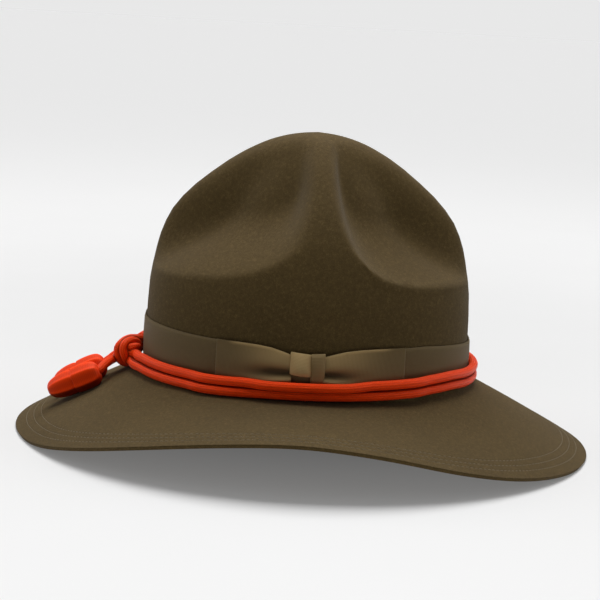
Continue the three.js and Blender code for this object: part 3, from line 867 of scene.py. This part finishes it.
def cord_mesh(name, path, diameter, columns):
    """A round cord along a path, swelling a little over each column of threads."""
    sides = columns * COLUMN_SIDES
    distance, right, up = along_path(path)
    turns = np.arange(sides) / sides * 2 * math.pi
    swell = 1 - COLUMN_DIP * (1 - np.abs(np.sin(np.arange(sides) / COLUMN_SIDES * math.pi)))
    reach = diameter / 2 * swell
    rings = (np.asarray(path)[:, None, :]
             + right[:, None, :] * (reach * np.cos(turns))[None, :, None]
             + up[:, None, :] * (reach * np.sin(turns))[None, :, None])
    rows = len(path)
    faces = grid_faces(rows, sides, closed=True)
    uvs = []
    for r in range(rows - 1):
        for c in range(sides):
            near, far = c / sides, (c + 1) / sides
            uvs += [(near, distance[r]), (far, distance[r]), (far, distance[r + 1]), (near, distance[r + 1])]
    points = list(rings.reshape(-1, 3)) + [path[0], path[-1]]
    for c in range(sides):
        ahead = (c + 1) % sides
        last = (rows - 1) * sides
        faces.append((len(points) - 2, ahead, c))
        faces.append((len(points) - 1, last + c, last + ahead))
        uvs += [(0.5, 0), (ahead / sides, 0), (c / sides, 0)]
        uvs += [(0.5, distance[-1]), (c / sides, distance[-1]), (ahead / sides, distance[-1])]
    return new_piece(name, points, faces, uvs)


def strand_ring(points, path):
    """How far up each point of a round cord lies on it, from -1 underneath to 1 on top."""
    sides = (len(points) - 2) // len(path)
    middles = np.vstack([np.repeat(path, sides, axis=0), path[:1], path[-1:]])
    away = points - middles
    return away[:, 2] / np.maximum(np.linalg.norm(away, axis=1), 1e-6)


def strand_path(row):
    """Middle of one strand of the cord, from the knot round the crown and back to it."""
    radius = bpy.context.scene.hat_cord.diameter / 2
    off = CLEAR + RIBBON_THICK + STRAND_GAP + radius
    wide = CROWN_WIDE[0] + off
    start = math.pi + math.asin((STRAND_END_Y - KNOT_CENTRE.y) / wide)
    end = 3 * math.pi - math.asin((STRAND_END_Y + KNOT_CENTRE.y) / wide)
    turn = np.linspace(start, end, STRAND_RINGS)
    x = CROWN_LONG[0] * np.cos(turn)
    left = np.sin(turn) < 0
    bow = left * (1 - smooth(np.maximum(BOW_ENDS[0] - x, x - BOW_ENDS[1]) / BOW_BULGE_RUN))
    from_knot = np.abs(x - KNOT_BULGE["x"]) - KNOT_BULGE["half"]
    shares = {
        "bulge": left * (1 - smooth(from_knot / KNOT_BULGE["run"])),
        "loose": left * smooth((LOOSE_FROM - x) / LOOSE_RUN),
        "drawn": 1 - smooth((turn - start) * CROWN_LONG[0] / DRAWN_RUN),
    }
    out = sum(share * row[key][0] for key, share in shares.items()) * MM
    drop = sum(share * row[key][1] for key, share in shares.items()) * MM
    climb = STRAND_CLIMB * np.where(left, np.cos(turn), 1)
    sag = STRAND_SAG * smooth((np.cos(turn) - STRAND_SAG_FROM) / (1 - STRAND_SAG_FROM))
    up = STRAND_SEAT + row["layer"] * STRAND_PITCH + climb - sag - drop
    return beside_crown(turn, up, off + BOW_BULGE * bow + out)


# ---- operators ----


class HAT_OT_studio(bpy.types.Operator):
    """Set up the camera, the soft light and the pale floor"""

    bl_idname = "hat.studio"
    bl_label = "Studio"

    def execute(self, context):
        studio = context.scene.hat_studio
        self.add_camera(context, studio)
        self.add_light(context)
        bpy.ops.object.select_all(action="DESELECT")
        bpy.ops.mesh.primitive_plane_add(size=studio.floor_size, location=(0, 0, 0))
        floor = context.object
        floor.name = "floor"
        floor.data.materials.append(floor_finish())
        return {"FINISHED"}

    def add_camera(self, context, studio):
        aim = Vector(studio.aim)
        up_angle = studio.elevation
        place = aim + Vector((0, -math.cos(up_angle), math.sin(up_angle))) * studio.distance
        bpy.ops.object.camera_add(location=place)
        camera = context.object
        camera.name = "camera"
        look = (aim - place).to_track_quat("-Z", "Y").to_matrix().to_4x4()
        camera.matrix_world = Matrix.Translation(place) @ look @ Matrix.Rotation(studio.roll, 4, "Z")
        camera.data.lens = studio.lens
        camera.data.sensor_width = 36
        context.scene.camera = camera

    def add_light(self, context):
        row = TOP_LIGHT
        bpy.ops.object.light_add(type="AREA", location=row["place"])
        light = context.object
        light.name = row["name"]
        aim = Vector(row["aim"]) - Vector(row["place"])
        light.rotation_euler = aim.to_track_quat("-Z", "Y").to_euler()
        light.data.size = row["size"]
        light.data.energy = row["power"]
        context.scene.world = studio_air()
        context.scene.view_settings.view_transform = "Standard"


class HAT_OT_felt_body(bpy.types.Operator):
    """Dress the felt: rounded crown with four pressed dents and a broad brim"""

    bl_idname = "hat.felt_body"
    bl_label = "Felt body"

    def execute(self, context):
        obj = copy_of_node("felt_body", "felt_hat")
        self.keep_cut_edge(obj.data)
        apply_subdivision(obj, 2)
        press_dents(obj.data)
        points = read_points(obj.data)
        points[:, 2] = np.maximum(points[:, 2], 0)
        write_points(obj.data, points)
        dress(obj, felt_finish(context.scene.hat_felt), "felt", "felt_body")
        return {"FINISHED"}

    def keep_cut_edge(self, mesh):
        """Creases the two edges of the cut, so that subdivision leaves it square."""
        faces = {}
        for face in mesh.polygons:
            for key in face.edge_keys:
                faces.setdefault(key, []).append(face.normal)
        crease = mesh.attributes.new("crease_edge", "FLOAT", "EDGE")
        for edge in mesh.edges:
            sides = faces[edge.key]
            turned = len(sides) == 2 and sides[0].dot(sides[1]) < 0.5
            crease.data[edge.index].value = 0.8 if turned else 0.0


class HAT_OT_ribbon_band(bpy.types.Operator):
    """Lay the grosgrain ribbon round the foot of the crown"""

    bl_idname = "hat.ribbon_band"
    bl_label = "Ribbon band"

    def execute(self, context):
        columns = BAND_COLUMNS
        shares = np.linspace(0, 1, BAND_ROWS)
        turns = np.linspace(0, 2 * math.pi, columns, endpoint=False)
        top = self.top(turns)
        rows = [RIBBON_LOW + (top - RIBBON_LOW) * share for share in shares]
        fullness = np.array([SELVEDGE, *[1.0] * (len(rows) - 2), SELVEDGE])
        outer = [beside_crown(turns, up, CLEAR + RIBBON_THICK * full) for up, full in zip(rows, fullness)]
        inner = [beside_crown(turns, up, CLEAR) for up in rows[::-1]]
        rings = np.array([*outer, *inner, outer[0]])
        around = np.concatenate([[0], np.cumsum(np.linalg.norm(np.diff(
            np.vstack([outer[0], outer[0][:1]]), axis=0), axis=1))])
        heights = RIBBON_LOW + RIBBON_WIDTH * np.array([*shares, *shares[::-1], 0])
        points = rings[:-1].reshape(-1, 3)
        count = len(rings) - 1
        faces, uvs = [], []
        for r in range(count):
            for c in range(columns):
                a, b = r * columns + c, r * columns + (c + 1) % columns
                d, e = ((r + 1) % count) * columns + c, ((r + 1) % count) * columns + (c + 1) % columns
                faces.append((a, b, e, d))
                uvs += [(around[c], heights[r]), (around[c + 1], heights[r]),
                        (around[c + 1], heights[r + 1]), (around[c], heights[r + 1])]
        band = new_piece("ribbon", points, faces, uvs)
        dress(band, grosgrain_finish(context.scene.hat_ribbon), "ribbon", "ribbon_band")
        return {"FINISHED"}

    def top(self, turns):
        """The band's upper edge, lower round the back and drawn down behind the bow."""
        ends = [(row["knot"], row["end"] - row["knot"]) for row in BOW_LOOPS]
        bow = sorted((knot + run * leaf["along"], leaf["high"])
                     for (knot, run), row in zip(ends, BOW_LOOPS) for leaf in row["leaf"])
        x, y = oval(turns, CROWN_LONG[1], CROWN_WIDE[1])
        behind = np.interp(x, *np.array(bow).T * MM) - BAND_TUCK
        round_back = np.clip((np.cos(turns) - RIBBON_BACK_FROM) / (1 - RIBBON_BACK_FROM), 0, 1)
        round_back = round_back ** RIBBON_BACK_POWER
        full = RIBBON_LOW + RIBBON_WIDTH - RIBBON_BACK_DROP * round_back
        return np.where(y < 0, np.minimum(full, behind), full)


class HAT_OT_cord_strands(bpy.types.Operator):
    """Lay the two strands of the hat cord round the crown"""

    bl_idname = "hat.cord_strands"
    bl_label = "Cord strands"

    def execute(self, context):
        cord = context.scene.hat_cord
        material = bpy.data.materials["braided_rayon"]
        for row in STRANDS:
            path = strand_path(row)
            strand = cord_mesh(row["name"], path, cord.diameter, cord.columns)
            self.shade_contact(strand, path, row["contact"])
            dress(strand, material, "cord", row["node"])
        return {"FINISHED"}

    def shade_contact(self, strand, path, side):
        """Paints shade on the side that faces the other strand, and on the underside of both."""
        points = read_points(strand.data)
        around = strand_ring(points, path)
        touching = smooth((side * around - 0.72) / 0.25)
        below = smooth((-around - 0.72) / 0.28)
        keep_number(strand, "shade", np.maximum(touching, below * 0.7))


class HAT_OT_cord_knot(bpy.types.Operator):
    """Tie the knot at the front and run its two legs down to the acorns"""

    bl_idname = "hat.cord_knot"
    bl_label = "Knot and legs"

    def execute(self, context):
        cord = context.scene.hat_cord
        material = braid_finish(cord)
        rows = KNOT_CORDS + LEG_CORDS
        paths = [smooth_path([Vector(p) * MM for p in row["points"]], KNOT_STEP) for row in rows]
        cords = []
        for row, path in zip(rows, paths):
            thick = cord.diameter * row.get("full", DRAWN_FULL)
            cords.append(cord_mesh(row["name"], path, thick, cord.columns))
            self.shade_gaps(cords[-1], path, paths, thick / 2)
        loops, legs = cords[:len(KNOT_CORDS)], cords[len(KNOT_CORDS):]
        select_only(*loops)
        bpy.ops.object.join()
        knot = dress(loops[0], material, "cord", "cord_knot")
        knot.name = "hat_knot"
        for row, leg in zip(LEG_CORDS, legs):
            dress(leg, material, "cord", row["node"])
        return {"FINISHED"}

    def shade_gaps(self, piece, path, paths, radius):
        """Paints shade where a cord lies against another cord or another turn of the same one, and on the
        underside.
        """
        points = read_points(piece.data)
        sides = (len(points) - 2) // len(path)
        ring = np.concatenate([np.repeat(np.arange(len(path)), sides), [0, len(path) - 1]])
        nearest = np.full(len(points), 1.0)
        for other in paths:
            away = np.linalg.norm(points[:, None] - other[None], axis=2)
            if other is path:
                same_stretch = np.abs(ring[:, None] - np.arange(len(path))[None]) * KNOT_STEP < 4.5 * radius
                away[same_stretch] = 1.0
            nearest = np.minimum(nearest, away.min(axis=1))
        touching = smooth((1.4 * radius - nearest) / (0.4 * radius))
        below = smooth((-strand_ring(points, path) - 0.5) / 0.5)
        keep_number(piece, "shade", np.maximum(touching, below * 0.7))


class HAT_OT_acorns(bpy.types.Operator):
    """Shape one thread-covered acorn and lay both on the brim"""

    bl_idname = "hat.acorns"
    bl_label = "Acorns"

    def execute(self, context):
        cord = context.scene.hat_cord
        material = acorn_finish(cord)
        for row in ACORNS:
            acorn = self.acorn(row["name"])
            axis = Vector(row["axis"]).normalized()
            side = Vector((0, 1, 0))
            up = side.cross(axis).normalized()
            turn = Matrix((side, axis, up)).transposed().to_4x4()
            spin = Matrix.Rotation(row["spin"], 4, "Y")
            acorn.data.transform(Matrix.Translation(Vector(row["start"]) * MM) @ turn @ spin)
            # Painted shade: darker where the acorn's surface faces down.
            facing_down = -read_points(acorn.data, "normal")[:, 2]
            keep_number(acorn, "shade", smooth((facing_down - 0.05) / 0.8))
            dress(acorn, material, "cord", row["node"])
        return {"FINISHED"}

    def acorn(self, name):
        sides = ACORN_FACETS * 10
        turns = np.arange(sides) / sides * 2 * math.pi
        from_middle = (turns * ACORN_FACETS / (2 * math.pi)) % 1 - 0.5
        flat = math.cos(math.pi / ACORN_FACETS) / np.cos(from_middle * 2 * math.pi / ACORN_FACETS)
        rows = smooth_path([(r["along"], r["radius"], r["faceted"]) for r in ACORN_PROFILE], 0.45)
        points, uvs = [], []
        for along, radius, faceted in rows:
            reach = np.maximum(radius, 0) * (1 - faceted * (1 - flat)) * MM
            ring = np.stack([reach * np.sin(turns), np.full(sides, along * MM), reach * np.cos(turns)], axis=-1)
            points.append(ring)
        faces = [face[::-1] for face in grid_faces(len(rows), sides, closed=True)]
        for r in range(len(rows) - 1):
            for c in range(sides):
                near, far = c / sides, (c + 1) / sides
                low, high = rows[r][0] * MM, rows[r + 1][0] * MM
                uvs += [(near, high), (far, high), (far, low), (near, low)]
        acorn = new_piece(name, np.vstack(points), faces, uvs)
        bpy.ops.object.mode_set(mode="EDIT")
        bpy.ops.mesh.select_all(action="SELECT")
        bpy.ops.mesh.remove_doubles(threshold=0.02 * MM)
        bpy.ops.mesh.normals_make_consistent(inside=False)
        bpy.ops.object.mode_set(mode="OBJECT")
        return acorn


class HAT_OT_brim_stitches(bpy.types.Operator):
    """Sew three rows of stitches near the brim's edge, seen above and below"""

    bl_idname = "hat.brim_stitches"
    bl_label = "Brim stitches"

    def execute(self, context):
        felt = context.scene.hat_felt
        brim = bpy.data.objects["felt_hat"]
        corners, faces = self.stitch(felt)
        for name, side in (("stitches_above", 1), ("stitches_below", -1)):
            places = [place for inset in STITCH_ROWS for place in self.row(brim, felt, inset, side)]
            points, all_faces = [], []
            for number, place in enumerate(places):
                points.append(corners @ np.array(place.to_3x3()).T + np.array(place.translation))
                all_faces += [tuple(v + number * len(corners) for v in face) for face in faces]
            sewn = new_piece(name, np.vstack(points), all_faces)
            dress(sewn, thread_finish(felt), "felt")
        return {"FINISHED"}

    def stitch(self, felt):
        """Points and faces of one stitch: a short end of thread, pointed where it enters the felt.

        They are put in order by place, because the sphere's own order isn't always the same.
        """
        bpy.ops.object.select_all(action="DESELECT")
        bpy.ops.mesh.primitive_uv_sphere_add(segments=6, ring_count=6, radius=0.5)
        ball = bpy.context.object
        ball.rotation_euler = (0, math.pi / 2, 0)
        bpy.ops.object.transform_apply(location=False, rotation=True, scale=False)
        ball.scale = (felt.stitch_length, felt.thread, felt.thread)
        bpy.ops.object.transform_apply(location=False, rotation=False, scale=True)
        points = read_points(ball.data)
        order = np.lexsort(points.T)
        rank = np.argsort(order).tolist()
        faces = []
        for face in ball.data.polygons:
            corners = [rank[v] for v in face.vertices]
            first = corners.index(min(corners))
            faces.append(tuple(corners[first:] + corners[:first]))
        bpy.data.objects.remove(ball)
        return points[order], sorted(faces)

    def row(self, brim, felt, inset, side):
        """Places of the stitches of one row, an even pitch apart."""
        turn = np.linspace(0, 2 * math.pi, 1441)
        edge = np.stack([BRIM_HALF_LENGTH * np.cos(turn), BRIM_HALF_WIDTH * np.sin(turn)], axis=-1)
        across = np.stack([BRIM_HALF_WIDTH * np.cos(turn), BRIM_HALF_LENGTH * np.sin(turn)], axis=-1)
        across /= np.linalg.norm(across, axis=1)[:, None]
        line = edge - across * inset
        distance = np.concatenate([[0], np.cumsum(np.linalg.norm(np.diff(line, axis=0), axis=1))])
        count = int(distance[-1] / felt.stitch_pitch)
        places = []
        for number in range(count):
            at = (number + (0.5 if side < 0 else 0)) * distance[-1] / count
            x, y = (float(np.interp(at, distance, line[:, i])) for i in range(2))
            ahead_x, ahead_y = (float(np.interp(at + MM, distance, line[:, i], period=distance[-1]))
                                for i in range(2))
            hit, place, normal, _ = brim.ray_cast(Vector((x, y, side * 0.3)), Vector((0, 0, -side)))
            if not hit:
                raise RuntimeError(f"a stitch at {x:.3f}, {y:.3f} misses the brim")
            ahead = Vector((ahead_x - x, ahead_y - y, 0))
            ahead = (ahead - normal * ahead.dot(normal)).normalized()
            basis = Matrix((ahead, normal.cross(ahead), normal)).transposed().to_4x4()
            sink = noise.noise(place * 400) * 0.05 * MM
            places.append(Matrix.Translation(place + normal * (sink - 0.02 * MM)) @ basis)
        return places


class HAT_OT_bow(bpy.types.Operator):
    """Fold the flat bow on the wearer's left: two loops and the strip round its middle"""

    bl_idname = "hat.bow"
    bl_label = "Bow"

    def execute(self, context):
        material = bpy.data.materials["grosgrain"]
        for row in BOW_LOOPS:
            loop, length = self.loop(row)
            dress(loop, material, "ribbon", row["node"])
        strip = self.strip()
        dress(strip, material, "ribbon", "bow_knot")
        return {"FINISHED"}

    def loop(self, row):
        """One loop: the ribbon runs out from the middle, turns at the end and comes back in front."""
        table = np.array([[r["along"], r["low"], r["high"], r["puff"], r["fold"]] for r in row["leaf"]])
        reach = np.linspace(0, 1, 30)
        heights = np.array([0, 0.02, 0.05, *np.linspace(0.1, 0.88, 20), 0.925, 0.955, 0.978, 0.992, 1])
        back = [(a, 0.0) for a in reach[::3]]
        turn = [(1 + 0.012 * math.sin(t), 0.5 - 0.5 * math.cos(t)) for t in np.linspace(0, math.pi, 7)[1:-1]]
        front = [(a, 1.0) for a in reach[::-1]]
        course = back + turn + front
        points, shade, lit = [], [], []
        for along, front_share in course:
            low, high, puff, fold = (np.interp(along, table[:, 0], table[:, i]) for i in range(1, 5))
            x = (row["knot"] + (row["end"] - row["knot"]) * along) * MM
            level = low + (high - low) * heights
            body = np.sin(np.pi * heights ** 0.62) ** 0.6
            crown = row["top_lip"] * np.exp(-((heights - 1) / 0.06) ** 2) * smooth(along * 2.2)
            tuck = fold * np.exp(-((heights - row["fold_at"]) / 0.13) ** 2)
            lower = fold * 0.55 * np.exp(-((heights - row["fold_at"] + 0.24) / 0.12) ** 2)
            out = BOW_BACK + front_share * (0.75 + (puff - 0.75) * body - tuck + lower + crown)
            points.append(beside_left(np.full(len(heights), x), level * MM, out * MM))
            # Painted shade in the pleat's tuck, lessened over the bulge below it.
            shade.append(front_share * (tuck - 0.5 * lower) / 2.4)
            # Painted light: paler towards the middle and towards the top, with a painted highlight along the top
            # lip.
            near = smooth((1.02 - along) / 1.0)
            lip = smooth((heights - 0.93) / 0.05) * smooth((0.9 - along) / 0.2)
            lit.append(front_share * (near * (0.46 + 0.26 * heights) + 0.08 + 0.7 * lip))
        points = np.array(points)
        centre = points[:, len(heights) // 2]
        path = np.concatenate([[0], np.cumsum(np.linalg.norm(np.diff(centre, axis=0), axis=1))])
        faces = grid_faces(len(course), len(heights))
        if row["end"] > row["knot"]:
            faces = [face[::-1] for face in faces]
        uvs = []
        for face in faces:
            for corner in face:
                uvs.append((path[corner // len(heights)], heights[corner % len(heights)] * RIBBON_WIDTH))
        loop = new_piece(row["name"], points.reshape(-1, 3), faces, uvs)
        keep_number(loop, "shade", shade)
        keep_number(loop, "lit", lit)
        self.thicken(loop)
        return loop, float(path[-1])

    def thicken(self, obj):
        select_only(obj)
        wall = obj.modifiers.new("Ply", "SOLIDIFY")
        wall.thickness = PLY
        wall.offset = 1
        bpy.ops.object.modifier_apply(modifier=wall.name)
        apply_subdivision(obj, 1)

    def strip(self):
        """The strip round the middle: a full roll, and beside it the flat end that runs down."""
        parts = []
        for row in BOW_STRIP:
            xs = np.linspace(row["from"], row["to"], 14)
            share = (xs - xs[0]) / (xs[-1] - xs[0])
            outline = smooth_path([(u, o, 0) for u, o in row["outline"]], 0.6)[:, :2]
            rings = []
            for x, s in zip(xs, share):
                side = math.sin(math.pi * min(max(s, 0.02), 0.98)) ** row["round"]
                up = outline[:, 0] + row["slant"] * (s - 0.5)
                out = BOW_BACK + 0.2 + (outline[:, 1] - 0.2) * side
                rings.append(beside_left(np.full(len(outline), x * MM), up * MM, out * MM))
            points = np.array(rings)
            faces = grid_faces(len(xs), len(outline))
            path = np.concatenate([[0], np.cumsum(np.linalg.norm(np.diff(outline, axis=0), axis=1))]) * MM
            uvs = []
            for face in faces:
                for corner in face:
                    uvs.append((path[corner % len(outline)], xs[corner // len(outline)] * MM))
            part = new_piece("bow_part", points.reshape(-1, 3), faces, uvs)
            # Painted light: the part's colour is brightened by its listed lit share.
            keep_number(part, "lit", np.full(len(points.reshape(-1, 3)), row["lit"]))
            self.thicken(part)
            parts.append(part)
        select_only(*parts)
        bpy.ops.object.join()
        parts[0].name = "bow_middle"
        return parts[0]


class HAT_PT_panel(bpy.types.Panel):
    """Lists the pieces of the hat in the sidebar"""

    bl_label = "Campaign hat"
    bl_idname = "HAT_PT_panel"
    bl_space_type = "VIEW_3D"
    bl_region_type = "UI"
    bl_category = "Hat"

    def draw(self, context):
        for operator in OPERATORS:
            self.layout.operator(operator.bl_idname)


SETTINGS = {
    "hat_felt": FeltSettings,
    "hat_ribbon": RibbonSettings,
    "hat_cord": CordSettings,
    "hat_studio": StudioSettings,
}
OPERATORS = [
    HAT_OT_studio,
    HAT_OT_cord_knot,
    HAT_OT_acorns,
    HAT_OT_cord_strands,
    HAT_OT_felt_body,
    HAT_OT_brim_stitches,
    HAT_OT_ribbon_band,
    HAT_OT_bow,
]
CLASSES = [*SETTINGS.values(), *OPERATORS, HAT_PT_panel]


def register():
    for cls in CLASSES:
        bpy.utils.register_class(cls)
    for name, settings in SETTINGS.items():
        setattr(bpy.types.Scene, name, PointerProperty(type=settings))


def unregister():
    for name in SETTINGS:
        delattr(bpy.types.Scene, name)
    for cls in reversed(CLASSES):
        bpy.utils.unregister_class(cls)


def main():
    register()
    for operator in OPERATORS:
        group, name = operator.bl_idname.split(".")
        getattr(getattr(bpy.ops, group), name)()


if __name__ == "__main__":
    main()
